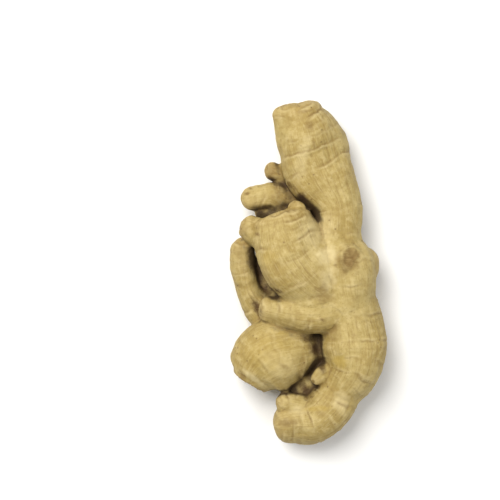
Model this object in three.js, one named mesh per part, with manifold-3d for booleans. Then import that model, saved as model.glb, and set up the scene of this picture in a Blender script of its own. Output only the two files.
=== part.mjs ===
// A hand of fresh ginger, as dug and dried: one rhizome of swollen lobes that lies flat, broad face up.
// Millimetres, +Z up. +Y runs along the hand to its thick upper finger, +X to its heavy lower lobe.
// The origin is the middle of the hand's footprint, on the surface that it lies on.
import * as THREE from "three";
import { mergeVertices } from "three/addons/utils/BufferGeometryUtils.js";
import Module from "manifold-3d";

// The rings that the scale leaves left: how high they stand, how soon they step down, how they crowd at a tip.
const RING_HEIGHT = 0.75;
const RING_STEP = 1.2;
const RING_GAP_AT_TIP = 4.5;
const RING_GAP_WIDEST = 13.0;
const RING_GAP_GROWTH = 1.35;
const FIRST_RING = 1.2;
const RING_WAVE = 1.5;

// An eye, the sleeping bud that sits on a ring at one edge of the lobe or the other. It is smaller on a lobe
// whose half width is under the last value.
const EYE_HEIGHT = 1.0;
const EYE_SPREAD = 0.34;
const EYE_FULL_SIZE_FROM = 16;

// The skin swells between two rings, and no lobe is quite round: lumps are a share of a lobe's size.
const SWELL = 0.45;
const LUMP = 0.05;

// The flesh fills the crease where two lobes meet: how often it is drawn out, by what share of the way each
// time, and over how many vertices beside the seam.
const FILL_PASSES = 9;
const FILL_PULL = 0.6;
const FILL_SPREAD = 3;

// The surface that the hand lies on: a plane at Z 0, which takes a small flat spot off each low lobe.
const FLOOR_BLOCK = 400;

// Each lobe runs from its root, sunk in the hand, to where its end begins to close.
// axis: x, y, z, half the width and half the thickness. sides: how many faces go round it.
// end: dome, blunt or scar, and reach, how far it goes past the axis. phase: turns its lumps and waves.
const LOBES = [
  {
    name: "upper finger",
    axis: [
      [16.5, 6.0, 22.0, 15.0, 14.0],
      [16.4, 21.6, 23.0, 12.4, 12.2],
      [16.2, 35.5, 22.0, 12.6, 12.4],
      [9.4, 50.5, 19.3, 17.2, 15.8],
      [3.0, 66.0, 17.9, 19.8, 18.5],
      [-1.2, 79.4, 18.6, 17.6, 17.3],
      [-4.0, 86.6, 19.5, 14.4, 13.8],
    ],
    sides: 22,
    end: "blunt",
    reach: 7.5,
    phase: 0.4,
  },
  {
    name: "knob on the upper finger",
    axis: [
      [-3.0, 64.0, 18.5, 10.5, 10.0],
      [-7.8, 75.5, 21.5, 10.2, 10.2],
      [-10.2, 87.0, 23.5, 9.2, 8.8],
    ],
    sides: 18,
    end: "blunt",
    reach: 6.2,
    phase: 2.1,
  },
  {
    name: "crown",
    axis: [
      [15.5, 26.0, 22.0, 9.0, 9.0],
      [15.2, 15.4, 22.5, 15.5, 14.5],
      [17.3, 1.7, 22.5, 18.6, 17.0],
      [19.3, -13.2, 21.0, 18.4, 16.5],
      [20.5, -24.0, 20.0, 15.5, 14.0],
    ],
    sides: 20,
    end: "dome",
    reach: 8.0,
    phase: 1.3,
  },
  {
    name: "shoulder",
    axis: [
      [16.0, 0.8, 20.0, 12.0, 12.0],
      [26.5, 3.6, 19.5, 13.0, 12.0],
      [31.5, 3.6, 19.0, 10.5, 10.0],
    ],
    sides: 16,
    end: "dome",
    reach: 8.0,
    phase: 3.3,
  },
  {
    name: "broken shoot on the crown",
    axis: [
      [18.0, 5.0, 22.0, 7.0, 9.5],
      [21.0, 7.4, 33.5, 7.4, 9.6],
      [22.2, 8.0, 37.4, 6.2, 8.4],
    ],
    sides: 16,
    end: "scar",
    reach: 1.4,
    phase: 0.9,
  },
  {
    name: "lower lobe",
    axis: [
      [18.2, -7.0, 21.0, 14.0, 13.5],
      [22.4, -23.1, 19.5, 17.6, 16.5],
      [25.2, -38.0, 17.9, 18.9, 18.5],
      [24.6, -53.0, 17.8, 16.2, 17.0],
      [18.6, -64.5, 17.0, 12.8, 13.5],
    ],
    sides: 22,
    end: "dome",
    reach: 7.0,
    phase: 2.7,
  },
  {
    name: "side of the lower lobe, deep under the inner nub",
    axis: [
      [17.0, -53.0, 11.5, 11.0, 9.5],
      [4.0, -59.0, 10.5, 9.6, 8.2],
      [-5.0, -64.5, 10.0, 8.5, 7.4],
    ],
    sides: 14,
    end: "dome",
    reach: 6.0,
    phase: 1.6,
  },
  {
    name: "foot",
    axis: [
      [19.0, -62.0, 17.0, 12.4, 12.5],
      [13.0, -73.5, 17.0, 13.6, 13.5],
      [3.0, -81.6, 17.0, 12.6, 13.0],
      [-9.0, -83.0, 17.0, 11.0, 11.2],
    ],
    sides: 18,
    end: "blunt",
    reach: 10.0,
    phase: 4.2,
  },
  {
    name: "left bulb",
    axis: [
      [15.0, -40.0, 12.0, 10.0, 9.0],
      [3.0, -42.0, 11.5, 12.6, 10.8],
      [-8.5, -43.5, 15.0, 17.6, 15.0],
      [-20.0, -46.5, 16.4, 20.6, 17.4],
      [-27.6, -52.8, 16.6, 18.0, 15.0],
      [-31.6, -58.4, 16.4, 11.0, 10.4],
    ],
    sides: 22,
    end: "scar",
    reach: 2.4,
    phase: 5.0,
  },
  {
    name: "middle finger",
    axis: [
      [15.0, -14.0, 22.0, 14.0, 13.0],
      [2.5, -3.4, 24.5, 18.6, 16.0],
      [-7.4, 9.0, 27.0, 20.2, 16.5],
      [-12.4, 20.5, 28.0, 19.6, 15.6],
      [-14.6, 27.8, 28.0, 17.0, 13.0],
    ],
    sides: 22,
    end: "blunt",
    reach: 6.0,
    phase: 1.9,
  },
  {
    name: "knob on the middle finger",
    axis: [
      [-18.0, 17.0, 24.0, 8.5, 8.0],
      [-27.6, 22.6, 23.0, 8.2, 7.6],
      [-32.6, 25.6, 23.0, 6.6, 6.2],
    ],
    sides: 14,
    end: "dome",
    reach: 5.0,
    phase: 0.2,
  },
  {
    name: "bud on the middle finger",
    axis: [
      [-6.6, 26.0, 29.5, 6.4, 6.0],
      [-6.2, 34.8, 29.0, 4.8, 4.4],
    ],
    sides: 12,
    end: "dome",
    reach: 5.0,
    phase: 5.7,
  },
  {
    name: "small finger",
    axis: [
      [14.0, -19.0, 22.0, 15.0, 14.0],
      [2.0, -22.0, 24.0, 12.5, 12.0],
      [-9.0, -21.6, 25.0, 10.2, 10.0],
      [-21.0, -19.6, 24.0, 7.6, 7.6],
    ],
    sides: 18,
    end: "blunt",
    reach: 6.5,
    phase: 3.9,
  },
  {
    name: "left finger",
    axis: [
      [-4.0, -16.0, 13.0, 11.0, 9.5],
      [-21.0, -20.6, 11.0, 12.0, 8.8],
      [-31.4, -12.4, 12.6, 7.2, 7.8],
      [-35.2, 1.0, 14.0, 6.8, 7.6],
      [-35.8, 12.6, 15.5, 6.8, 6.8],
    ],
    sides: 16,
    end: "dome",
    reach: 7.6,
    phase: 0.7,
  },
  {
    name: "saddle between the middle and the small finger",
    axis: [
      [14.0, -14.0, 24.0, 13.0, 12.5],
      [4.0, -14.5, 27.0, 9.8, 9.5],
      [-6.0, -15.6, 27.0, 7.6, 7.8],
    ],
    sides: 16,
    end: "dome",
    reach: 5.0,
    phase: 4.0,
  },
  {
    name: "flesh behind the left finger",
    axis: [
      [-6.0, -8.0, 14.0, 12.0, 9.0],
      [-21.0, -6.0, 8.5, 10.0, 6.0],
      [-26.0, 6.0, 8.5, 8.0, 5.5],
    ],
    sides: 12,
    end: "dome",
    reach: 5.0,
    phase: 2.0,
  },
  {
    name: "stub",
    axis: [
      [8.0, 35.0, 14.0, 8.0, 7.5],
      [-7.7, 40.0, 12.5, 9.0, 7.8],
      [-16.0, 40.8, 13.0, 10.0, 7.8],
      [-22.0, 42.6, 15.5, 7.4, 7.2],
      [-31.0, 41.6, 16.5, 6.8, 6.4],
    ],
    sides: 16,
    end: "dome",
    reach: 6.2,
    phase: 2.4,
  },
  {
    name: "nub under the stub",
    axis: [
      [-12.0, 32.0, 14.0, 6.0, 6.0],
      [-20.0, 33.0, 15.0, 4.6, 4.6],
      [-26.0, 34.0, 15.5, 3.8, 3.8],
    ],
    sides: 10,
    end: "dome",
    reach: 3.6,
    phase: 5.2,
  },
  {
    name: "upper nub",
    axis: [
      [-2.0, 47.0, 14.0, 6.4, 6.0],
      [-12.6, 53.2, 12.6, 5.0, 5.0],
      [-19.2, 56.9, 12.6, 4.6, 4.6],
    ],
    sides: 12,
    end: "dome",
    reach: 5.0,
    phase: 1.1,
  },
  {
    name: "inner nub",
    axis: [
      [13.0, -53.0, 20.5, 6.0, 6.0],
      [8.2, -55.0, 23.0, 5.2, 5.0],
      [5.0, -57.4, 23.6, 4.2, 4.0],
    ],
    sides: 12,
    end: "dome",
    reach: 4.0,
    phase: 4.6,
  },
  {
    name: "low nub",
    axis: [
      [3.0, -76.0, 17.0, 7.0, 7.0],
      [-6.0, -73.0, 20.0, 6.4, 6.2],
      [-13.0, -71.0, 21.0, 5.4, 5.2],
    ],
    sides: 14,
    end: "dome",
    reach: 5.0,
    phase: 3.0,
  },
];

// How each kind of end closes: share of the last section's size, and share of the reach.
const SCAR_ROWS = [
  [0.98, 0.35],
  [0.93, 0.8],
  [0.84, 1.0],
  [0.72, 0.84],
  [0.5, 0.44],
  [0.0, 0.6],
];
const DOME_STEPS = 4;
const ROUNDNESS = { dome: 2.0, blunt: 2.6 };
const ROOT_REACH = 0.6;
const ROOT_STEPS = 2;

const UP = new THREE.Vector3(0, 0, 1);
const NORTH = new THREE.Vector3(0, 1, 0);
const STEEP = 0.8;

// A closed end as rows of [share of the size, share of the reach], from the full section to its pole.
function endRows(kind, steps) {
  if (kind === "scar") return SCAR_ROWS;
  const power = ROUNDNESS[kind];
  return Array.from({ length: steps }, (_, i) => {
    const forward = Math.sin(((i + 1) / steps) * (Math.PI / 2));
    const size = i + 1 === steps ? 0 : (1 - forward ** power) ** (1 / power);
    return [size, forward];
  });
}

// Where the rings lie along a lobe: crowded at the tip, wider apart towards the root.
function ringPlaces(length) {
  const places = [];
  let gap = RING_GAP_AT_TIP;
  for (let place = length - FIRST_RING; place > gap / 2; place -= gap) {
    places.unshift(place);
    gap = Math.min(RING_GAP_WIDEST, gap * RING_GAP_GROWTH);
  }
  return places;
}

// Rows along the lobe's side: the swell between two rings, then a ring's crest and the step down past it.
// strength tells a strong ring from a faint one, and eye is the edge that its bud sits on.
function sideRows(length, phase) {
  const rows = [{ place: 0, rise: 0, eye: 0 }];
  let last = 0;
  ringPlaces(length).forEach((ring, i) => {
    const strength = 0.65 + 0.35 * Math.sin(2.6 * i + 3 * phase);
    rows.push({ place: (last + ring) / 2, rise: SWELL, eye: 0 });
    rows.push({ place: ring, rise: RING_HEIGHT * strength, eye: i % 2 ? 1 : -1 });
    rows.push({ place: Math.min(ring + RING_STEP, length), rise: 0, eye: i % 2 ? 0.7 : -0.7 });
    last = ring + RING_STEP;
  });
  rows.push({ place: length, rise: 0, eye: 0 });
  return rows;
}

// Slow lumps round and along a lobe, as a share of its size.
function lump(angle, place, phase) {
  const oval = Math.sin(2 * angle + phase + 0.05 * place);
  const knobs = Math.sin(3 * angle - 1.7 * phase + 0.13 * place);
  const lean = Math.sin(angle + 2.3 * phase - 0.17 * place);
  return 1 + LUMP * (oval + 0.6 * knobs + 0.8 * lean);
}

// How far an eye stands out at this angle. Eyes sit at the lobe's two edges, at angle 0 and half a turn.
function eyeRise(angle, eye) {
  const off = eye > 0 ? Math.sin(angle / 2) : Math.cos(angle / 2);
  return EYE_HEIGHT * Math.abs(eye) * Math.exp(-((off / EYE_SPREAD) ** 2));
}

// A lobe is a sphere whose rows are spread along its axis, with the rings and lumps raised by formula.
function lobeGeometry({ axis, sides, end, reach, phase }) {
  const line = new THREE.CatmullRomCurve3(axis.map(([x, y, z]) => new THREE.Vector3(x, y, z)), false, "catmullrom");
  const sizes = new THREE.CatmullRomCurve3(axis.map(([, , , w, d]) => new THREE.Vector3(w, d, 0)), false, "catmullrom");
  const length = line.getLength();

  const rows = sideRows(length, phase).map((row) => ({ ...row, size: 1, beyond: 0 }));
  for (const [size, forward] of endRows(end, DOME_STEPS)) {
    rows.push({ place: length, rise: 0, eye: 0, size, beyond: forward * reach });
  }
  for (const [size, forward] of endRows("dome", ROOT_STEPS)) {
    rows.unshift({ place: 0, rise: 0, eye: 0, size, beyond: -forward * axis[0][3] * ROOT_REACH });
  }

  const geometry = new THREE.SphereGeometry(1, sides, rows.length - 1);
  const position = geometry.getAttribute("position");
  rows.forEach(({ place, rise, eye, size, beyond }, row) => {
    for (let column = 0; column <= sides; column++) {
      const angle = (2 * Math.PI * (column % sides)) / sides;
      const onSide = place > 0 && place < length;
      const wave = onSide ? RING_WAVE * Math.sin(angle + phase) * Math.cos(2 * angle - phase) : 0;
      const t = line.getUtoTmapping(THREE.MathUtils.clamp((place + wave) / length, 0, 1));
      const along = line.getTangent(t);
      const { x: halfWidth, y: halfDepth } = sizes.getPoint(t);
      const side = along.clone().cross(Math.abs(along.z) > STEEP ? NORTH : UP).normalize();
      const over = side.clone().cross(along);
      const uneven = lump(angle, place, phase);
      const out = rise + eyeRise(angle, eye) * Math.min(1, halfWidth / EYE_FULL_SIZE_FROM);
      const point = line.getPoint(t).addScaledVector(along, beyond);
      point.addScaledVector(side, Math.cos(angle) * size * (halfWidth * uneven + out));
      point.addScaledVector(over, Math.sin(angle) * size * (halfDepth * uneven + out));
      position.setXYZ(row * (sides + 1) + column, point.x, point.y, point.z);
    }
  });
  return geometry;
}

const wasm = await Module();
wasm.setup();

// A closed three.js geometry as a solid, turned round if its faces point in.
function solidFrom(geometry) {
  const bare = geometry.clone();
  bare.deleteAttribute("normal");
  bare.deleteAttribute("uv");
  const merged = mergeVertices(bare, 1e-4);
  const triVerts = new Uint32Array(merged.index.array);
  const make = () => new wasm.Manifold(
    new wasm.Mesh({ numProp: 3, vertProperties: merged.attributes.position.array, triVerts }),
  );
  const solid = make();
  if (solid.volume() > 0) return solid;
  for (let i = 0; i < triVerts.length; i += 3) {
    [triVerts[i + 1], triVerts[i + 2]] = [triVerts[i + 2], triVerts[i + 1]];
  }
  return make();
}

function geometryFrom(solid) {
  const { vertProperties, triVerts } = solid.getMesh();
  const geometry = new THREE.BufferGeometry();
  geometry.setAttribute("position", new THREE.BufferAttribute(vertProperties, 3));
  geometry.setIndex(new THREE.BufferAttribute(triVerts, 1));
  return geometry;
}

// The lobes as one body. Where they close round a hollow it is filled, so only the outer skin is kept.
function fuse(solids) {
  const [skinOnly] = solids
    .reduce((whole, solid) => whole.add(solid))
    .decompose()
    .sort((a, b) => b.volume() - a.volume());
  return skinOnly;
}

// Which vertices touch which, as a list of sets.
function neighbours(geometry) {
  const near = Array.from({ length: geometry.getAttribute("position").count }, () => new Set());
  const index = geometry.index.array;
  for (let i = 0; i < index.length; i += 3) {
    for (let k = 0; k < 3; k++) {
      near[index[i + k]].add(index[i + ((k + 1) % 3)]).add(index[i + ((k + 2) % 3)]);
    }
  }
  return near;
}

// Fills the sharp crease along each seam between lobes: there, skin that lies below its neighbours is drawn out
// towards them. A vertex is on a seam if no lobe had it, and the fill fades over the next few vertices.
function fillCreases(geometry, lobeGeometries) {
  const key = (p, i) => [p.getX(i), p.getY(i), p.getZ(i)].map((v) => v.toFixed(2)).join();
  const known = new Set();
  for (const { attributes } of lobeGeometries) {
    for (let i = 0; i < attributes.position.count; i++) known.add(key(attributes.position, i));
  }
  const position = geometry.getAttribute("position");
  const near = neighbours(geometry);
  const share = near.map((_, i) => (known.has(key(position, i)) ? 0 : 1));
  for (let ring = 1; ring <= FILL_SPREAD; ring++) {
    const before = [...share];
    near.forEach((others, i) => {
      if (!before[i] && [...others].some((k) => before[k])) share[i] = 1 - ring / (FILL_SPREAD + 1);
    });
  }
  const here = new THREE.Vector3();
  const normal = new THREE.Vector3();
  for (let pass = 0; pass < FILL_PASSES; pass++) {
    geometry.computeVertexNormals();
    const before = position.clone();
    near.forEach((others, i) => {
      if (!share[i]) return;
      const middle = new THREE.Vector3();
      others.forEach((k) => middle.add(new THREE.Vector3().fromBufferAttribute(before, k)));
      here.fromBufferAttribute(before, i);
      middle.divideScalar(others.size).sub(here);
      normal.fromBufferAttribute(geometry.getAttribute("normal"), i);
      if (middle.dot(normal) <= 0) return;
      here.addScaledVector(middle, FILL_PULL * share[i]);
      position.setXYZ(i, here.x, here.y, here.z);
    });
  }
}

const lobes = LOBES.map(lobeGeometry);
const grown = geometryFrom(fuse(lobes.map(solidFrom)));
fillCreases(grown, lobes);

const floor = new THREE.BoxGeometry(FLOOR_BLOCK, FLOOR_BLOCK, FLOOR_BLOCK).translate(0, 0, -FLOOR_BLOCK / 2);
const lying = geometryFrom(solidFrom(grown).subtract(solidFrom(floor)));
lying.computeBoundingBox();
const middle = lying.boundingBox.getCenter(new THREE.Vector3());
lying.translate(-middle.x, -middle.y, 0);
lying.computeVertexNormals();

const skin = new THREE.MeshStandardMaterial({ color: 0xc8b078, roughness: 0.72, metalness: 0 });
const rhizome = new THREE.Mesh(lying, skin);
rhizome.name = "rhizome";

const hand = new THREE.Group();
hand.add(rhizome);

export default hand;
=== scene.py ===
# A hand of fresh ginger on a pale floor, seen from straight above in soft light from the upper left.
# The rhizome is made in millimetres, in the frame's own axes, and brought to metres when its skin is done.
import math
import random

import bmesh
import bpy
import numpy as np
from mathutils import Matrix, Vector, noise
from mathutils.bvhtree import BVHTree


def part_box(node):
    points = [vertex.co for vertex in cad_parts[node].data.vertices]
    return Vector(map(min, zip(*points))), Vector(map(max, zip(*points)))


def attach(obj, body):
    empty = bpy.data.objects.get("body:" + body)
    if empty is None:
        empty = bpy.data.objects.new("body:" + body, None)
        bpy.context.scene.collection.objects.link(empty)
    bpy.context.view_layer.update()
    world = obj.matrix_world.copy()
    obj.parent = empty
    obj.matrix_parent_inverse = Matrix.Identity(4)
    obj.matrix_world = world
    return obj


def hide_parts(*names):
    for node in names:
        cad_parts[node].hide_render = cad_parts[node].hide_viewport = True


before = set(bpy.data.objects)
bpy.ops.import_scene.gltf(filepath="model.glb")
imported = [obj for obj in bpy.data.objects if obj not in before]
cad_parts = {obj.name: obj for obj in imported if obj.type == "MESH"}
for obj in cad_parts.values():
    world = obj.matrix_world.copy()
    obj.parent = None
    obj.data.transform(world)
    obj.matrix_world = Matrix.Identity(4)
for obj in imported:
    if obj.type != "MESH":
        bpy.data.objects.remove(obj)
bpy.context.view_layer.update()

MM = 0.001

# The lobes, in millimetres, before the hand is centred. axis: x, y, z, half the width and half the
# thickness, from the root, sunk in the hand, to the place where the end begins to close. reach: how far the
# end goes past the axis. phase: what turns its lumps and waves.
LOBES = {
    "upper finger": dict(
        axis=[
            [16.5, 6.0, 22.0, 15.0, 14.0],
            [16.4, 21.6, 23.0, 12.4, 12.2],
            [16.2, 35.5, 22.0, 12.6, 12.4],
            [9.4, 50.5, 19.3, 17.2, 15.8],
            [3.0, 66.0, 17.9, 19.8, 18.5],
            [-1.2, 79.4, 18.6, 17.6, 17.3],
            [-4.0, 86.6, 19.5, 14.4, 13.8],
        ],
        end="blunt", reach=7.5, phase=0.4,
    ),
    "knob on the upper finger": dict(
        axis=[
            [-3.0, 64.0, 18.5, 10.5, 10.0],
            [-7.8, 75.5, 21.5, 10.2, 10.2],
            [-10.2, 87.0, 23.5, 9.2, 8.8],
        ],
        end="blunt", reach=6.2, phase=2.1,
    ),
    "crown": dict(
        axis=[
            [15.5, 26.0, 22.0, 9.0, 9.0],
            [15.2, 15.4, 22.5, 15.5, 14.5],
            [17.3, 1.7, 22.5, 18.6, 17.0],
            [19.3, -13.2, 21.0, 18.4, 16.5],
            [20.5, -24.0, 20.0, 15.5, 14.0],
        ],
        end="dome", reach=8.0, phase=1.3,
    ),
    "shoulder": dict(
        axis=[
            [16.0, 0.8, 20.0, 12.0, 12.0],
            [26.5, 3.6, 19.5, 13.0, 12.0],
            [31.5, 3.6, 19.0, 10.5, 10.0],
        ],
        end="dome", reach=8.0, phase=3.3,
    ),
    "broken shoot on the crown": dict(
        axis=[
            [18.0, 5.0, 22.0, 7.0, 9.5],
            [21.0, 7.4, 33.5, 7.4, 9.6],
            [22.2, 8.0, 37.4, 6.2, 8.4],
        ],
        end="scar", reach=1.4, phase=0.9,
    ),
    "lower lobe": dict(
        axis=[
            [18.2, -7.0, 21.0, 14.0, 13.5],
            [22.4, -23.1, 19.5, 17.6, 16.5],
            [25.2, -38.0, 17.9, 18.9, 18.5],
            [24.6, -53.0, 17.8, 16.2, 17.0],
            [18.6, -64.5, 17.0, 12.8, 13.5],
        ],
        end="dome", reach=7.0, phase=2.7,
    ),
    "side of the lower lobe, deep under the inner nub": dict(
        axis=[
            [17.0, -53.0, 11.5, 11.0, 9.5],
            [4.0, -59.0, 10.5, 9.6, 8.2],
            [-5.0, -64.5, 10.0, 8.5, 7.4],
        ],
        end="dome", reach=6.0, phase=1.6,
    ),
    "foot": dict(
        axis=[
            [19.0, -62.0, 17.0, 12.4, 12.5],
            [13.0, -73.5, 17.0, 13.6, 13.5],
            [3.0, -81.6, 17.0, 12.6, 13.0],
            [-9.0, -83.0, 17.0, 11.0, 11.2],
        ],
        end="blunt", reach=10.0, phase=4.2,
    ),
    "left bulb": dict(
        axis=[
            [15.0, -40.0, 12.0, 10.0, 9.0],
            [3.0, -42.0, 11.5, 12.6, 10.8],
            [-8.5, -43.5, 15.0, 17.6, 15.0],
            [-20.0, -46.5, 16.4, 20.6, 17.4],
            [-27.6, -52.8, 16.6, 18.0, 15.0],
            [-31.6, -58.4, 16.4, 11.0, 10.4],
        ],
        end="scar", reach=2.4, phase=5.0,
    ),
    "middle finger": dict(
        axis=[
            [15.0, -14.0, 22.0, 14.0, 13.0],
            [2.5, -3.4, 24.5, 18.6, 16.0],
            [-7.4, 9.0, 27.0, 20.2, 16.5],
            [-12.4, 20.5, 28.0, 19.6, 15.6],
            [-14.6, 27.8, 28.0, 17.0, 13.0],
        ],
        end="blunt", reach=6.0, phase=1.9,
    ),
    "knob on the middle finger": dict(
        axis=[
            [-18.0, 17.0, 24.0, 8.5, 8.0],
            [-27.6, 22.6, 23.0, 8.2, 7.6],
            [-32.6, 25.6, 23.0, 6.6, 6.2],
        ],
        end="dome", reach=5.0, phase=0.2,
    ),
    "bud on the middle finger": dict(
        axis=[
            [-6.6, 26.0, 29.5, 6.4, 6.0],
            [-6.2, 34.8, 29.0, 4.8, 4.4],
        ],
        end="dome", reach=5.0, phase=5.7,
    ),
    "small finger": dict(
        axis=[
            [14.0, -19.0, 22.0, 15.0, 14.0],
            [2.0, -22.0, 24.0, 12.5, 12.0],
            [-9.0, -21.6, 25.0, 10.2, 10.0],
            [-21.0, -19.6, 24.0, 7.6, 7.6],
        ],
        end="blunt", reach=6.5, phase=3.9,
    ),
    "left finger": dict(
        axis=[
            [-4.0, -16.0, 13.0, 11.0, 9.5],
            [-21.0, -20.6, 11.0, 12.0, 8.8],
            [-31.4, -12.4, 12.6, 7.2, 7.8],
            [-35.2, 1.0, 14.0, 6.8, 7.6],
            [-35.8, 12.6, 15.5, 6.8, 6.8],
        ],
        end="dome", reach=7.6, phase=0.7,
    ),
    "saddle between the middle and the small finger": dict(
        axis=[
            [14.0, -14.0, 24.0, 13.0, 12.5],
            [4.0, -14.5, 27.0, 9.8, 9.5],
            [-6.0, -15.6, 27.0, 7.6, 7.8],
        ],
        end="dome", reach=5.0, phase=4.0,
    ),
    "flesh behind the left finger": dict(
        axis=[
            [-6.0, -8.0, 14.0, 12.0, 9.0],
            [-21.0, -6.0, 8.5, 10.0, 6.0],
            [-26.0, 6.0, 8.5, 8.0, 5.5],
        ],
        end="dome", reach=5.0, phase=2.0,
    ),
    "stub": dict(
        axis=[
            [8.0, 35.0, 14.0, 8.0, 7.5],
            [-7.7, 40.0, 12.5, 9.0, 7.8],
            [-16.0, 40.8, 13.0, 10.0, 7.8],
            [-22.0, 42.6, 15.5, 7.4, 7.2],
            [-31.0, 41.6, 16.5, 6.8, 6.4],
        ],
        end="dome", reach=6.2, phase=2.4,
    ),
    "nub under the stub": dict(
        axis=[
            [-12.0, 32.0, 14.0, 6.0, 6.0],
            [-20.0, 33.0, 15.0, 4.6, 4.6],
            [-26.0, 34.0, 15.5, 3.8, 3.8],
        ],
        end="dome", reach=3.6, phase=5.2,
    ),
    "upper nub": dict(
        axis=[
            [-2.0, 47.0, 14.0, 6.4, 6.0],
            [-12.6, 53.2, 12.6, 5.0, 5.0],
            [-19.2, 56.9, 12.6, 4.6, 4.6],
        ],
        end="dome", reach=5.0, phase=1.1,
    ),
    "inner nub": dict(
        axis=[
            [13.0, -53.0, 20.5, 6.0, 6.0],
            [8.2, -55.0, 23.0, 5.2, 5.0],
            [5.0, -57.4, 23.6, 4.2, 4.0],
        ],
        end="dome", reach=4.0, phase=4.6,
    ),
    "low nub": dict(
        axis=[
            [3.0, -76.0, 17.0, 7.0, 7.0],
            [-6.0, -73.0, 20.0, 6.4, 6.2],
            [-13.0, -71.0, 21.0, 5.4, 5.2],
        ],
        end="dome", reach=5.0, phase=3.0,
    ),
}

# Lobes: how finely they are laid, how lumpy they are, and how their ends close.
AXIS_STEPS = 600
SIDES = 48
ROOT_ROWS = 4
SIDE_ROWS = 36
END_ROWS = 10
LUMP = 0.05
ROOT_REACH = 0.6
ROUNDNESS = {"dome": 2.0, "blunt": 2.6}
SCAR_SIZE = [1.0, 0.98, 0.93, 0.84, 0.72, 0.5, 0.0]
SCAR_FORWARD = [0.0, 0.35, 0.8, 1.0, 0.84, 0.44, 0.6]

# A way with more than this share of it upright takes its sides from another guide.
STEEP = 0.8

# Skin: the size of its faces, and how far the flesh rounds the creases between lobes.
VOXEL = 0.74
RELAX_PASSES = 3
FILL_PASSES = 11
FILL_PULL = 0.6

# Relief fades out towards a seam. A point is this much nearer to its own lobe than to the next one, as a
# share of a lobe's half size, where the relief is gone and where it is whole.
SEAM = 0.02
SEAM_CLEAR = 0.3

# How many times the skin is evened out to find its dents and its hollows.
DENT_PASSES = 4
HOLLOW_PASSES = 28

# The skin's strands of one lobe lie this far along from the next one's, in millimetres, so that they differ.
STRANDS_APART = 60.0

# Rings, in millimetres: they crowd at a tip and part towards the root.
RING_GAP_AT_TIP = 4.5
RING_GAP_WIDEST = 13.0
RING_GAP_GROWTH = 1.35
FIRST_RING = 1.2
RING_WAVE = 1.5
SEED = 27

# A ring is a low lip with a groove on the side of the tip, and a dark line between them.
LIP_HEIGHT = 0.34
LIP_WIDTH = 0.9
GROOVE_DEPTH = 0.28
GROOVE_WIDTH = 0.8
GROOVE_PLACE = 1.3
LINE_PLACE = 0.9
LINE_WIDTH = 0.6
FRINGE_WIDTH = 0.7

# An end that isn't broken has one more ring, at this share of its reach.
END_RING = 0.55

# Between two rings the flesh swells, and a faint line runs near the middle.
SWELL_HEIGHT = 0.3
SWELL_WIDTH = 0.42
FAINT_LINE = 0.3
FAINT_LINE_WIDTH = 0.45
FAINT_GROOVE_DEPTH = 0.08
FAINT_GROOVE_WIDTH = 0.6
FAINT_SHIFT = 0.3

# Each seed moves its noise this far from the next one's.
SEED_STEP = 17.3

# A mark fades out at this many times its half size. It is on faces that look up, and full past this height
# of their normal.
MARK_EDGE = 1.25
LOOKING_UP = 0.45

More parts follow.
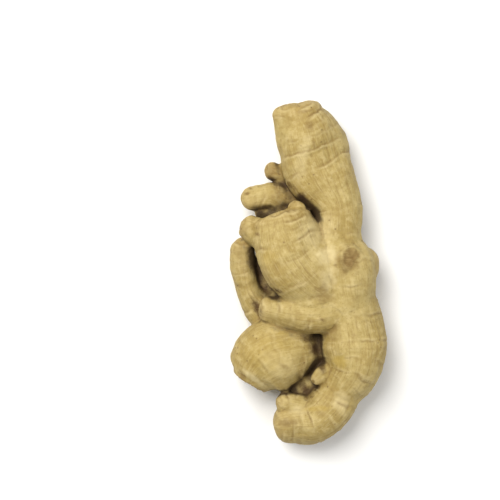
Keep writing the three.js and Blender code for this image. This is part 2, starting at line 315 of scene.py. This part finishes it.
# Marks on the upper side, in millimetres, before the hand is centred: x, y, half length, half width, turn in
# degrees and strength.
MARKS = {
    "brown": [
        (21.0, 7.0, 8.0, 7.0, 80.0, 0.8),
        (0.0, 80.0, 2.6, 3.6, 0.0, 0.6),
        (2.4, 70.5, 0.8, 3.4, 10.0, 0.6),
        (-3.0, 88.0, 4.6, 0.9, 8.0, 0.6),
        (7.0, 89.5, 4.2, 0.8, 14.0, 0.5),
        (7.1, -11.0, 4.6, 6.4, 12.0, 0.55),
        (-11.0, -81.4, 5.6, 2.6, 5.0, 0.7),
        (-33.6, 43.8, 1.7, 1.1, 20.0, 1.0),
        (-31.6, 46.6, 0.9, 0.7, 0.0, 0.9),
        (-28.0, 21.4, 1.8, 0.9, -25.0, 0.9),
        (6.6, -24.3, 2.6, 0.7, -45.0, 0.9),
        (-13.5, -50.5, 4.4, 1.3, -32.0, 0.5),
        (-36.0, -56.5, 3.2, 2.0, -60.0, 0.6),
        (13.0, -33.0, 5.0, 3.4, 70.0, 0.4),
        (-13.0, 41.5, 7.0, 8.5, 0.0, 0.45),
        (-21.0, 56.0, 6.5, 5.0, 15.0, 0.6),
        (-37.0, 8.0, 5.0, 9.0, 10.0, 0.3),
        (-36.5, 24.5, 3.0, 4.0, 0.0, 0.4),
        (-14.0, 95.0, 7.0, 3.0, 0.0, 0.3),
    ],
    # Dark bands along the crevices: soil, with painted shade.
    "soil_and_shade": [
        (-10.5, 48.5, 7.0, 2.6, -38.0, 0.8),
        (-3.4, 41.6, 6.0, 3.0, -42.0, 1.0),
        (2.4, 33.0, 8.0, 2.8, -72.0, 1.0),
        (-20.0, 52.5, 4.5, 2.6, -20.0, 0.7),
        (-27.0, 34.2, 5.0, 2.8, 10.0, 0.7),
        (-27.4, 1.0, 13.0, 3.6, -72.0, 1.0),
        (-23.4, -8.6, 6.0, 4.4, -60.0, 1.0),
        (-18.6, -9.0, 6.6, 2.2, -10.0, 1.0),
        (-28.4, -18.6, 8.0, 3.2, -62.0, 1.0),
        (-1.0, -36.0, 8.0, 3.0, -16.0, 0.8),
        (4.0, -42.0, 8.0, 5.4, -58.0, 1.0),
        (7.2, -50.0, 7.0, 3.2, -82.0, 1.0),
        (-4.4, -58.5, 6.5, 2.4, -60.0, 0.7),
        (-1.0, -64.5, 8.0, 4.4, -58.0, 1.0),
        (-16.0, -65.4, 5.0, 1.2, 20.0, 0.7),
    ],
    "pale": [
        (4.0, 24.0, 12.0, 10.0, 60.0, 0.5),
        (9.4, 9.8, 6.5, 5.5, 20.0, 0.9),
        (10.0, -2.0, 5.0, 7.0, 0.0, 0.6),
        (-17.0, -49.0, 12.0, 8.0, -40.0, 0.4),
        (-4.0, 62.0, 14.0, 4.0, 80.0, 0.4),
        (17.5, -70.0, 7.0, 5.0, 70.0, 0.6),
        (-5.0, -74.5, 6.0, 3.0, 0.0, 0.5),
        (-30.0, -57.0, 9.0, 1.6, -40.0, 0.8),
    ],
    "ochre": [
        (16.5, -47.6, 4.6, 4.0, 0.0, 0.8),
        (-22.0, -44.0, 14.0, 12.0, 0.0, 0.4),
        (4.0, -73.6, 9.0, 1.6, 6.0, 0.6),
        (-22.0, 9.0, 6.0, 4.0, 60.0, 0.4),
    ],
}

# How much of the view from each point of the skin is blocked: how many looks, how far each one goes, and how
# many times what they find is evened out.
LOOKS = 9
LOOK_REACH = 15.0
LOOK_PASSES = 4
GOLDEN_ANGLE = math.pi * (3.0 - math.sqrt(5.0))


def smoothstep(low, high, value):
    t = np.clip((value - low) / (high - low), 0.0, 1.0)
    return t * t * (3.0 - 2.0 * t)


def bell(value, width):
    return np.exp(-((value / width) ** 2))


def catmull_rom(knots, t):
    """Places on the smooth curve through the knots, for t from 0 at the first to 1 at the last."""
    padded = np.vstack([2 * knots[0] - knots[1], knots, 2 * knots[-1] - knots[-2]])
    spot = t * (len(knots) - 1)
    i = np.minimum(spot.astype(int), len(knots) - 2)
    f = (spot - i)[:, None]
    a, b, c, d = padded[i], padded[i + 1], padded[i + 2], padded[i + 3]
    return 0.5 * (2 * b + (c - a) * f + (2 * a - 5 * b + 4 * c - d) * f**2 + (3 * b - a - 3 * c + d) * f**3)


class Lobe:
    """One swollen joint of the hand, known by its axis and its half width and thickness along it."""

    SAMPLES = 96

    def __init__(self, axis, end, reach, phase):
        self.end = end
        self.reach = reach
        self.phase = phase
        fine = catmull_rom(np.array(axis, float), np.linspace(0, 1, AXIS_STEPS))
        steps = np.linalg.norm(np.diff(fine[:, :3], axis=0), axis=1)
        run = np.concatenate([[0.0], np.cumsum(steps)])
        self.length = run[-1]
        self.places = np.linspace(0, self.length, self.SAMPLES)
        at = np.column_stack([np.interp(self.places, run, fine[:, k]) for k in range(5)])
        self.centre = at[:, :3]
        self.half = at[:, 3:]
        self.along = np.gradient(self.centre, self.places, axis=0)
        self.along /= np.linalg.norm(self.along, axis=1)[:, None]
        upright = np.abs(self.along[:, 2:]) > STEEP
        guide = np.where(upright, [[0.0, 1.0, 0.0]], [[0.0, 0.0, 1.0]])
        self.side = np.cross(self.along, guide)
        self.side /= np.linalg.norm(self.side, axis=1)[:, None]
        self.over = np.cross(self.side, self.along)
        self.mean_half = float(self.half.mean())

    def lump(self, angle, place):
        oval = np.sin(2 * angle + self.phase + 0.05 * place)
        knobs = np.sin(3 * angle - 1.7 * self.phase + 0.13 * place)
        lean = np.sin(angle + 2.3 * self.phase - 0.17 * place)
        return 1 + LUMP * (oval + 0.6 * knobs + 0.8 * lean)

    def rows(self):
        """Place, share of the size and distance past the axis, for each row from the root pole to the tip."""
        root_turn = np.linspace(np.pi / 2, 0, ROOT_ROWS, endpoint=False)
        rows = [(0.0, np.cos(a), -np.sin(a) * self.half[0, 0] * ROOT_REACH) for a in root_turn]
        rows += [(p, 1.0, 0.0) for p in np.linspace(0, self.length, SIDE_ROWS)]
        forward = np.sin(np.linspace(0, np.pi / 2, END_ROWS + 1)[1:])
        if self.end == "scar":
            spots = np.linspace(0, len(SCAR_SIZE) - 1, END_ROWS + 1)[1:]
            size = np.interp(spots, range(len(SCAR_SIZE)), SCAR_SIZE)
            forward = np.interp(spots, range(len(SCAR_FORWARD)), SCAR_FORWARD)
        else:
            power = ROUNDNESS[self.end]
            size = np.clip(1 - forward**power, 0, 1) ** (1 / power)
        return rows + [(self.length, s, f * self.reach) for s, f in zip(size, forward)]

    def build(self, bm):
        """A ball whose rows are laid along the axis."""
        rows = np.array(self.rows())
        last = len(rows) - 1
        ball = bmesh.ops.create_uvsphere(bm, u_segments=SIDES, v_segments=last, radius=1.0)["verts"]
        round_place = np.array([v.co[:] for v in ball])
        row = np.rint(np.arccos(np.clip(round_place[:, 2], -1, 1)) / np.pi * last).astype(int)
        angle = np.arctan2(round_place[:, 1], round_place[:, 0])
        place, size, beyond = rows[row].T
        here = self.at(place)
        reach = size * self.lump(angle, place)
        point = here["centre"] + here["along"] * beyond[:, None]
        point += here["side"] * (np.cos(angle) * reach * here["half"][:, 0])[:, None]
        point += here["over"] * (np.sin(angle) * reach * here["half"][:, 1])[:, None]
        for vert, co in zip(ball, point):
            vert.co = co

    def at(self, place):
        """The axis, its directions and its half sizes at these places."""
        found = {}
        for name in ("centre", "along", "side", "over", "half"):
            table = getattr(self, name)
            columns = [np.interp(place, self.places, table[:, k]) for k in range(table.shape[1])]
            found[name] = np.column_stack(columns)
        return found

    def locate(self, points):
        """For points near the skin: place along the lobe, angle round it, and how far out, 1 on the skin."""
        gap = np.linalg.norm(points[:, None, :] - self.centre[None, ::2, :], axis=2)
        nearest = gap.argmin(axis=1) * 2
        off = points - self.centre[nearest]
        place = self.places[nearest] + (off * self.along[nearest]).sum(axis=1)
        here = self.at(np.clip(place, 0, self.length))
        off = points - here["centre"]
        across = (off * here["side"]).sum(axis=1) / here["half"][:, 0]
        upward = (off * here["over"]).sum(axis=1) / here["half"][:, 1]
        beyond = np.clip(place - self.length, 0, None) / self.reach
        behind = np.clip(-place, 0, None) / (self.half[0, 0] * ROOT_REACH)
        out = np.sqrt(across**2 + upward**2 + beyond**2 + behind**2)
        return place, np.arctan2(upward, across), out

    def rings(self):
        """Where the rings lie, from the tip to the root."""
        gap = RING_GAP_AT_TIP
        place = self.length - FIRST_RING
        while place > gap / 2:
            yield place
            place -= gap
            gap = min(RING_GAP_WIDEST, gap * RING_GAP_GROWTH)


class Skin:
    """The hand's outer surface as arrays: places of its points, and which points touch."""

    def __init__(self, mesh):
        self.mesh = mesh
        self.count = len(mesh.vertices)
        self.points = np.empty(self.count * 3)
        mesh.vertices.foreach_get("co", self.points)
        self.points = self.points.reshape(-1, 3)
        edges = np.empty(len(mesh.edges) * 2, int)
        mesh.edges.foreach_get("vertices", edges)
        self.edges = edges.reshape(-1, 2)
        self.touching = np.bincount(edges, minlength=self.count)

    def spread(self, values):
        """The mean of each point's neighbours."""
        flat = values.reshape(self.count, -1)
        a, b = self.edges.T
        total = np.empty_like(flat)
        for k in range(flat.shape[1]):
            total[:, k] = np.bincount(a, flat[b, k], self.count) + np.bincount(b, flat[a, k], self.count)
        return (total / self.touching[:, None]).reshape(values.shape)

    def smoothed(self, values, passes):
        for _ in range(passes):
            values = self.spread(values)
        return values

    def normals(self):
        self.mesh.vertices.foreach_set("co", self.points.ravel())
        self.mesh.update()
        found = np.empty(self.count * 3)
        self.mesh.vertex_normals.foreach_get("vector", found)
        return found.reshape(-1, 3)

    def hollowness(self, passes):
        """How far each point lies below the mean of the skin round it, in millimetres."""
        middle = self.smoothed(self.points, passes)
        return ((middle - self.points) * self.normals()).sum(axis=1)

    def fill_creases(self):
        """Lifts what lies below the skin round it, and leaves what stands proud."""
        for _ in range(FILL_PASSES):
            pull = self.spread(self.points) - self.points
            outward = (pull * self.normals()).sum(axis=1) > 0
            self.points += pull * (FILL_PULL * outward)[:, None]

    def shelter(self):
        """How hemmed in each point is by flesh close by, from 0 in the open to 1 deep in a crevice."""
        normals = self.normals()
        bm = bmesh.new()
        bm.from_mesh(self.mesh)
        tree = BVHTree.FromBMesh(bm)
        bm.free()
        guide = np.where(np.abs(normals[:, 2:]) > STEEP, [[1.0, 0.0, 0.0]], [[0.0, 0.0, 1.0]])
        side = np.cross(normals, guide)
        side /= np.linalg.norm(side, axis=1)[:, None]
        over = np.cross(side, normals)
        starts = (self.points + normals * VOXEL).tolist()
        blocked = np.zeros(self.count)
        for look in range(LOOKS):
            lean = math.sqrt((look + 0.5) / LOOKS)
            turn = look * GOLDEN_ANGLE
            ways = side * (lean * math.cos(turn)) + over * (lean * math.sin(turn))
            ways += normals * math.sqrt(1 - lean**2)
            hits = (tree.ray_cast(start, way, LOOK_REACH)[3] for start, way in zip(starts, ways.tolist()))
            blocked += np.fromiter((0.0 if far is None else 1 - far / LOOK_REACH for far in hits), float)
        return self.smoothed(blocked / LOOKS, LOOK_PASSES)

    def swell(self, height):
        """Moves the skin outwards by these heights."""
        self.points += self.normals() * height[:, None]

    def grain(self, size, seed, places=None):
        """Smooth noise from -1 to 1 over the skin, or over other places given for its points."""
        spots = (self.points if places is None else places) / size + seed * SEED_STEP
        return np.fromiter((noise.noise(spot) for spot in spots), float, self.count)

    def write(self, name, values):
        """Keeps values, one number or one vector for each point, as an attribute that the material reads."""
        kind = "FLOAT_VECTOR" if values.ndim == 2 else "FLOAT"
        field = "vector" if values.ndim == 2 else "value"
        self.mesh.attributes.new(name, kind, "POINT").data.foreach_set(field, values.ravel())


def keep_outer_skin(bm):
    """Drops the walls of any hollow that the lobes closed round."""
    top = max(bm.verts, key=lambda v: v.co.z)
    reached = {top}
    waiting = [top]
    while waiting:
        for edge in waiting.pop().link_edges:
            for vert in edge.verts:
                if vert not in reached:
                    reached.add(vert)
                    waiting.append(vert)
    bmesh.ops.delete(bm, geom=[v for v in bm.verts if v not in reached], context="VERTS")


def grown_together(lobes):
    """The lobes as one closed skin of small even faces."""
    bm = bmesh.new()
    for lobe in lobes:
        lobe.build(bm)
    bmesh.ops.recalc_face_normals(bm, faces=bm.faces)
    rough = bpy.data.meshes.new("lobes")
    bm.to_mesh(rough)
    holder = bpy.data.objects.new("lobes", rough)
    bpy.context.scene.collection.objects.link(holder)
    remesh = holder.modifiers.new("join", "REMESH")
    remesh.mode = "VOXEL"
    remesh.voxel_size = VOXEL
    evaluated = holder.evaluated_get(bpy.context.evaluated_depsgraph_get())
    bm.clear()
    bm.from_mesh(evaluated.to_mesh())
    evaluated.to_mesh_clear()
    bpy.data.objects.remove(holder)
    keep_outer_skin(bm)
    mesh = bpy.data.meshes.new("rhizome_skin")
    bm.to_mesh(mesh)
    bm.free()
    return mesh


def lobe_places(lobes, skin):
    """For each point of the skin: its lobe, place, angle, and how clear it is of the next lobe's seam."""
    found = [lobe.locate(skin.points) for lobe in lobes]
    out = np.array([f[2] for f in found])
    order = np.argsort(out, axis=0)
    which = order[0]
    each = np.arange(skin.count)
    seam = out[order[1], each] - out[which, each]
    place = np.array([f[0] for f in found])[which, each]
    angle = np.array([f[1] for f in found])[which, each]
    return which, place, angle, smoothstep(SEAM, SEAM_CLEAR, seam)


def ring_relief(lobes, skin, which, place, angle):
    """Height of the rings and of the swell between them, and how much line and fringe each point has."""
    dice = random.Random(SEED)
    height = np.zeros(skin.count)
    line = np.zeros(skin.count)
    fringe = np.zeros(skin.count)
    ragged = skin.grain(2.2, 1) * 0.5 + skin.grain(6.0, 2) * 1.3
    patchy = smoothstep(-0.3, 0.4, skin.grain(9.0, 3))
    for index, lobe in enumerate(lobes):
        mine = which == index
        wave = RING_WAVE * np.sin(angle[mine] + lobe.phase) * np.cos(2 * angle[mine] - lobe.phase)
        spot = place[mine] - wave - ragged[mine]
        rings = [lobe.length + lobe.reach * END_RING] if lobe.end != "scar" else []
        rings += list(lobe.rings())
        for number, ring in enumerate(rings):
            strength = dice.uniform(0.25, 1.0) * (0.15 + 0.85 * patchy[mine])
            past = spot - ring
            lip = LIP_HEIGHT * bell(past, LIP_WIDTH)
            groove = GROOVE_DEPTH * bell(past - GROOVE_PLACE, GROOVE_WIDTH)
            height[mine] += strength * (lip - groove)
            line[mine] = np.maximum(line[mine], strength * bell(past - LINE_PLACE, LINE_WIDTH))
            fringe[mine] = np.maximum(fringe[mine], strength * bell(past, FRINGE_WIDTH))
            if number + 1 < len(rings):
                before = rings[number + 1]
                middle = (ring + before) / 2
                height[mine] += SWELL_HEIGHT * bell(spot - middle, (ring - before) * SWELL_WIDTH)
                faint = middle + dice.uniform(-FAINT_SHIFT, FAINT_SHIFT) * (ring - before)
                thin_line = FAINT_LINE * patchy[mine] * bell(spot - faint, FAINT_LINE_WIDTH)
                line[mine] = np.maximum(line[mine], thin_line)
                height[mine] -= FAINT_GROOVE_DEPTH * patchy[mine] * bell(spot - faint, FAINT_GROOVE_WIDTH)
    return height, line, fringe


def marks(skin, kind, ragged, core):
    """How much of this kind of mark is at each point of the upper side. It is full out to its core."""
    upper = smoothstep(0.0, LOOKING_UP, skin.normals()[:, 2])
    found = np.zeros(skin.count)
    for x, y, half_length, half_width, turn, strength in MARKS[kind]:
        way = np.array([math.cos(math.radians(turn)), math.sin(math.radians(turn))])
        off = skin.points[:, :2] - (x, y)
        along = off @ way / half_length
        across = (off[:, 1] * way[0] - off[:, 0] * way[1]) / half_width
        fading = smoothstep(core, MARK_EDGE, np.hypot(along, across) + ragged)
        found = np.maximum(found, strength * (1 - fading))
    return found * upper


def wrinkles(skin, fibre):
    """Shallow wrinkles along the lobes, in drifts, with the dimples and lumps of drying skin."""
    drift = smoothstep(-0.25, 0.35, skin.grain(13.0, 7))
    long_folds = skin.grain(1.0, 4, fibre * [0.62, 0.62, 0.07])
    broad_folds = skin.grain(1.0, 8, fibre * [0.26, 0.26, 0.035])
    lumps = 0.6 * skin.grain(15.0, 5) + 0.3 * skin.grain(6.0, 6) + 0.12 * skin.grain(2.6, 9)
    return lumps + (0.06 + 0.2 * drift) * long_folds + 0.22 * broad_folds


def lobe_ends(lobes, skin, which, place):
    """How far each point is into a broken end, and into a rounded tip."""
    broken = np.zeros(skin.count)
    tip = np.zeros(skin.count)
    for index, lobe in enumerate(lobes):
        mine = which == index
        into_end = (place[mine] - lobe.length) / lobe.reach
        if lobe.end == "scar":
            broken[mine] = smoothstep(0.3, 0.8, into_end)
        else:
            tip[mine] = smoothstep(-0.6, 0.9, into_end)
    return broken, tip


def torn_flesh(skin, broken):
    """The rough, stringy relief of the broken ends."""
    return broken * (0.6 * skin.grain(2.6, 10) + 0.5 * skin.grain(1.0, 11, skin.points * [0.3, 1.1, 0.6]))


def write_wear_and_shade(skin):
    """Writes where soil and painted shade lie in the crevices, how hemmed in each point is for the painted
    crevice shade, where the skin is stained or rubbed, and where it is dented or hollow.
    """
    ragged = 0.3 * skin.grain(4.0, 12) + 0.3 * skin.grain(1.6, 13)
    sheltered = skin.shelter()
    skin.write("sheltered", sheltered)
    skin.write("soil_and_shade", marks(skin, "soil_and_shade", 0.5 * ragged, -0.2) * smoothstep(-0.3, 0.12, sheltered))
    for kind in ("brown", "pale", "ochre"):
        skin.write(kind, marks(skin, kind, ragged, 0.4))
    dents = skin.hollowness(DENT_PASSES)
    skin.write("hollow", smoothstep(0.1, 1.3, skin.hollowness(HOLLOW_PASSES)))
    skin.write("dent", smoothstep(0.02, 0.22, dents))
    skin.write("ridge", smoothstep(0.02, 0.22, -dents))


def set_in_frame(skin):
    """Flattens what is below the floor, centres the hand on its box in the frame and brings it to metres."""
    skin.points[:, 2] = np.maximum(skin.points[:, 2], 0.0)
    low, high = (np.array(corner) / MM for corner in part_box("rhizome"))
    offset = (low + high) / 2 - (skin.points.min(axis=0) + skin.points.max(axis=0)) / 2
    skin.points[:, :2] += offset[:2]
    skin.mesh.vertices.foreach_set("co", (skin.points * MM).ravel())
    skin.mesh.update()
    skin.mesh.shade_smooth()


def make_rhizome():
    lobes = [Lobe(**about) for about in LOBES.values()]
    skin = Skin(grown_together(lobes))
    skin.points = skin.smoothed(skin.points, RELAX_PASSES)
    skin.fill_creases()

    which, place, angle, clear = lobe_places(lobes, skin)
    half = np.array([lobe.mean_half for lobe in lobes])[which]
    fibre = np.column_stack([np.cos(angle) * half, np.sin(angle) * half, place + STRANDS_APART * which])
    broken, tip = lobe_ends(lobes, skin, which, place)
    relief, line, fringe = ring_relief(lobes, skin, which, place, angle)
    skin.swell(clear * relief + torn_flesh(skin, broken) + wrinkles(skin, fibre))

    write_wear_and_shade(skin)
    skin.write("ring_line", line * clear)
    skin.write("fringe", fringe * clear)
    skin.write("clear", clear)
    skin.write("broken", broken)
    skin.write("tip", tip)
    skin.write("fibre", fibre)
    set_in_frame(skin)

    piece = bpy.data.objects.new("ginger_rhizome", skin.mesh)
    bpy.context.scene.collection.objects.link(piece)
    skin.mesh.materials.append(ginger_skin())
    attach(piece, "root")
    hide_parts("rhizome")


class Wire:
    """A number on its way through a material. Sums and products of wires add Math nodes."""

    def __init__(self, finish, socket):
        self.finish = finish
        self.socket = socket

    def math(self, operation, *values):
        return self.finish.node("ShaderNodeMath", {"operation": operation}, values)

    def __add__(self, other):
        return self.math("ADD", self, other)

    def __radd__(self, other):
        return self.math("ADD", other, self)

    def __sub__(self, other):
        return self.math("SUBTRACT", self, other)

    def __rsub__(self, other):
        return self.math("SUBTRACT", other, self)

    def __mul__(self, other):
        return self.math("MULTIPLY", self, other)

    def __rmul__(self, other):
        return self.math("MULTIPLY", other, self)


class Finish:
    """A material under construction."""

    def __init__(self, name):
        self.material = bpy.data.materials.new(name)
        self.material.use_nodes = True
        self.tree = self.material.node_tree
        self.shader = self.tree.nodes["Principled BSDF"]

    def node(self, kind, settings, values, output=0):
        """Adds a node. values go to its sockets in order, or by name or number if they are a dictionary."""
        made = self.tree.nodes.new(kind)
        for name, setting in settings.items():
            setattr(made, name, setting)
        pairs = values.items() if isinstance(values, dict) else enumerate(values)
        for socket, value in pairs:
            self.put(made.inputs[socket], value)
        return Wire(self, made.outputs[output])

    def put(self, socket, value):
        if isinstance(value, Wire):
            self.tree.links.new(value.socket, socket)
        else:
            socket.default_value = value

    def attribute(self, name, output="Fac"):
        return self.node("ShaderNodeAttribute", {"attribute_name": name}, {}, output)

    def place(self):
        return self.node("ShaderNodeTexCoord", {}, {}, "Object")

    def scaled(self, vector, factors):
        return self.node("ShaderNodeVectorMath", {"operation": "MULTIPLY"}, (vector, factors))

    def noise(self, vector, scale, detail=2.0, roughness=0.5):
        values = {"Vector": vector, "Scale": scale, "Detail": detail, "Roughness": roughness}
        return self.node("ShaderNodeTexNoise", {}, values)

    def specks(self, vector, scale):
        return self.node("ShaderNodeTexVoronoi", {}, {"Vector": vector, "Scale": scale})

    def rise(self, value, low, high):
        """0 below low, 1 above high and smooth between."""
        return self.node("ShaderNodeMapRange", {"interpolation_type": "SMOOTHSTEP"}, (value, low, high))

    def lay(self, share, under, colour):
        """A screen colour laid over the colour under it. The share is how much of it shows."""
        values = {0: share, 6: under, 7: linear(*colour)}
        return self.node("ShaderNodeMix", {"data_type": "RGBA"}, values, 2)

    def set(self, **sockets):
        """Sets or links sockets of the surface shader by their names, with _ for each space."""
        for name, value in sockets.items():
            self.put(self.shader.inputs[name.replace("_", " ")], value)


def linear(red, green, blue):
    """A screen colour, 0 to 255, as the light it stands for."""
    def one(value):
        share = value / 255
        return share / 12.92 if share <= 0.04045 else ((share + 0.055) / 1.055) ** 2.4
    return (one(red), one(green), one(blue), 1.0)


# Colours of the skin as a screen shows them, 0 to 255: the husk, what time and handling did to it, what lies
# on it and in its creases, and the painted shade of its hollows and crevices.
STRAW = (172, 152, 94)
OLIVE_STRAW = (158, 136, 76)
LIGHT_HUSK = (194, 175, 122)
DULL_HUSK = (142, 118, 62)
FLAKED_HUSK = (134, 109, 58)
DARK_STRAND = (130, 105, 54)
LIGHT_STRAND = (200, 182, 128)
TIP_TAN = (160, 128, 74)
RUBBED_RIDGE = (198, 180, 126)
RUBBED_PATCH = (208, 191, 142)
OCHRE = (172, 146, 66)
PAPERY_FRINGE = (206, 188, 136)
RING_BROWN = (108, 82, 40)
DENT_BROWN = (116, 90, 44)
BROKEN_FLESH = (146, 121, 72)
STAIN_BROWN = (108, 81, 37)
HOLLOW_SHADE_AND_DIRT = (104, 78, 36)
SOIL_AND_SHADE = (78, 56, 24)
CREVICE_SHADE_AND_DIRT = (54, 37, 17)
PORE = (92, 64, 34)


def ginger_skin():
    finish = Finish("ginger_skin")
    place = finish.place()
    clear = finish.attribute("clear")
    strands = finish.scaled(finish.attribute("fibre", "Vector"), (1.0, 1.0, 0.06))

    cloud = finish.noise(place, 42.0, 3.0)
    mottle = finish.noise(place, 230.0, 5.0, 0.62)
    flake = finish.noise(place, 820.0, 3.0, 0.7)
    streak = finish.noise(strands, 0.8, 4.0, 0.66)
    hair = finish.noise(strands, 2.6, 2.0, 0.6)

    colour = finish.lay(finish.rise(cloud, 0.36, 0.64), linear(*STRAW), OLIVE_STRAW)
    colour = finish.lay(finish.rise(mottle, 0.46, 0.7) * 0.6, colour, LIGHT_HUSK)
    colour = finish.lay(finish.rise(0.5 - mottle, 0.0, 0.2) * 0.55, colour, DULL_HUSK)
    colour = finish.lay(finish.rise(flake, 0.53, 0.7) * 0.45, colour, FLAKED_HUSK)
    colour = finish.lay(finish.rise(streak, 0.5, 0.68) * 0.5 * clear, colour, DARK_STRAND)
    colour = finish.lay(finish.rise(hair, 0.5, 0.7) * 0.3 * clear, colour, LIGHT_STRAND)
    colour = finish.lay(finish.attribute("tip") * 0.2, colour, TIP_TAN)
    colour = finish.lay(finish.attribute("ridge") * 0.3, colour, RUBBED_RIDGE)
    colour = finish.lay(finish.attribute("pale") * (0.5 + 0.5 * mottle), colour, RUBBED_PATCH)
    colour = finish.lay(finish.attribute("ochre") * 0.7, colour, OCHRE)
    colour = finish.lay(finish.attribute("fringe") * flake * 0.8, colour, PAPERY_FRINGE)
    colour = finish.lay(finish.attribute("ring_line") * (0.2 + 0.7 * mottle), colour, RING_BROWN)
    colour = finish.lay(finish.attribute("dent") * 0.45, colour, DENT_BROWN)

    bands = finish.noise(finish.scaled(place, (0.35, 1.5, 1.0)), 420.0, 4.0, 0.65)
    colour = finish.lay(finish.attribute("broken") * (0.3 + 0.8 * bands), colour, BROKEN_FLESH)
    colour = finish.lay(finish.attribute("brown") * (0.1 + 1.3 * bands), colour, STAIN_BROWN)
    # Painted shade with some dirt: broad hollows between the lobes turn darker brown.
    colour = finish.lay(finish.attribute("hollow") * (0.3 + 0.6 * mottle), colour, HOLLOW_SHADE_AND_DIRT)

    # Soil and painted shade: dark bands laid along the crevices, only where flesh close by hems the skin in.
    soil_and_shade_share = finish.rise(finish.attribute("soil_and_shade") * (0.35 + 1.3 * flake), 0.03, 0.95)
    colour = finish.lay(soil_and_shade_share, colour, SOIL_AND_SHADE)
    # Painted shade with dirt: the skin darkens to near black where nearby flesh blocks its view, deep in the
    # crevices.
    crevice_shade = finish.rise(finish.attribute("sheltered") + 0.4 * (mottle - 0.5), 0.15, 0.42)
    colour = finish.lay(crevice_shade * 0.92, colour, CREVICE_SHADE_AND_DIRT)
    pores = finish.specks(place, 250.0)
    spots = (1 - finish.rise(pores, 0.06, 0.2)) * finish.rise(cloud, 0.5, 0.6)
    colour = finish.lay(spots * 0.6, colour, PORE)

    height = 0.5 * streak + 0.3 * hair + 0.5 * mottle + 0.25 * flake
    bump = finish.node("ShaderNodeBump", {}, {"Strength": 0.7, "Distance": 0.0006, "Height": height})
    finish.set(Base_Color=colour, Roughness=0.55 + 0.3 * mottle, Specular_IOR_Level=0.3, Normal=bump)
    return finish.material


def floor_finish():
    finish = Finish("pale_floor")
    finish.set(Base_Color=(0.86, 0.86, 0.85, 1.0), Roughness=0.9)
    return finish.material


FLOOR_HALF = 3.0


def make_floor():
    bm = bmesh.new()
    bmesh.ops.create_grid(bm, x_segments=1, y_segments=1, size=FLOOR_HALF)
    mesh = bpy.data.meshes.new("floor")
    bm.to_mesh(mesh)
    bm.free()
    mesh.materials.append(floor_finish())
    floor = bpy.data.objects.new("floor", mesh)
    bpy.context.scene.collection.objects.link(floor)


# The camera looks straight down through a long lens. At the hand's middle height a pixel is 0.55 mm.
PIXEL = 0.55 * MM
IMAGE = 500
LENS = 100.0
SENSOR = 36.0
VIEW_MIDDLE = (-32.1 * MM, 12.6 * MM)
MIDDLE_HEIGHT = 22 * MM
NEAREST_SEEN = 10 * MM


def make_camera():
    camera = bpy.data.objects.new("camera", bpy.data.cameras.new("camera"))
    bpy.context.scene.collection.objects.link(camera)
    camera.data.lens = LENS
    camera.data.sensor_width = SENSOR
    distance = IMAGE * PIXEL * LENS / SENSOR
    camera.location = (*VIEW_MIDDLE, MIDDLE_HEIGHT + distance)
    camera.data.clip_start = NEAREST_SEEN
    bpy.context.scene.camera = camera


def make_light(name, where, size, power, colour):
    """A square light that looks at the middle of the floor."""
    light = bpy.data.lights.new(name, "AREA")
    light.size = size
    light.energy = power
    light.color = colour
    lamp = bpy.data.objects.new(name, light)
    lamp.location = where
    lamp.rotation_euler = (-Vector(where)).to_track_quat("-Z", "Y").to_euler()
    bpy.context.scene.collection.objects.link(lamp)


# Light: metres, watts and shares of red, green and blue.
WHITE = (1.0, 1.0, 1.0)
WARM_WHITE = (1.0, 0.98, 0.95)
ROOM_LIGHT = 0.35


def make_lights():
    make_light("key", where=(-0.4, 0.45, 1.0), size=0.7, power=17.0, colour=WARM_WHITE)
    make_light("fill", where=(0.7, -0.3, 0.8), size=0.9, power=4.0, colour=WHITE)
    world = bpy.data.worlds.new("studio")
    world.use_nodes = True
    background = world.node_tree.nodes["Background"]
    background.inputs["Color"].default_value = (*WHITE, 1.0)
    background.inputs["Strength"].default_value = ROOM_LIGHT
    bpy.context.scene.world = world
    bpy.context.scene.view_settings.view_transform = "Standard"


make_camera()
make_lights()
make_floor()
make_rhizome()
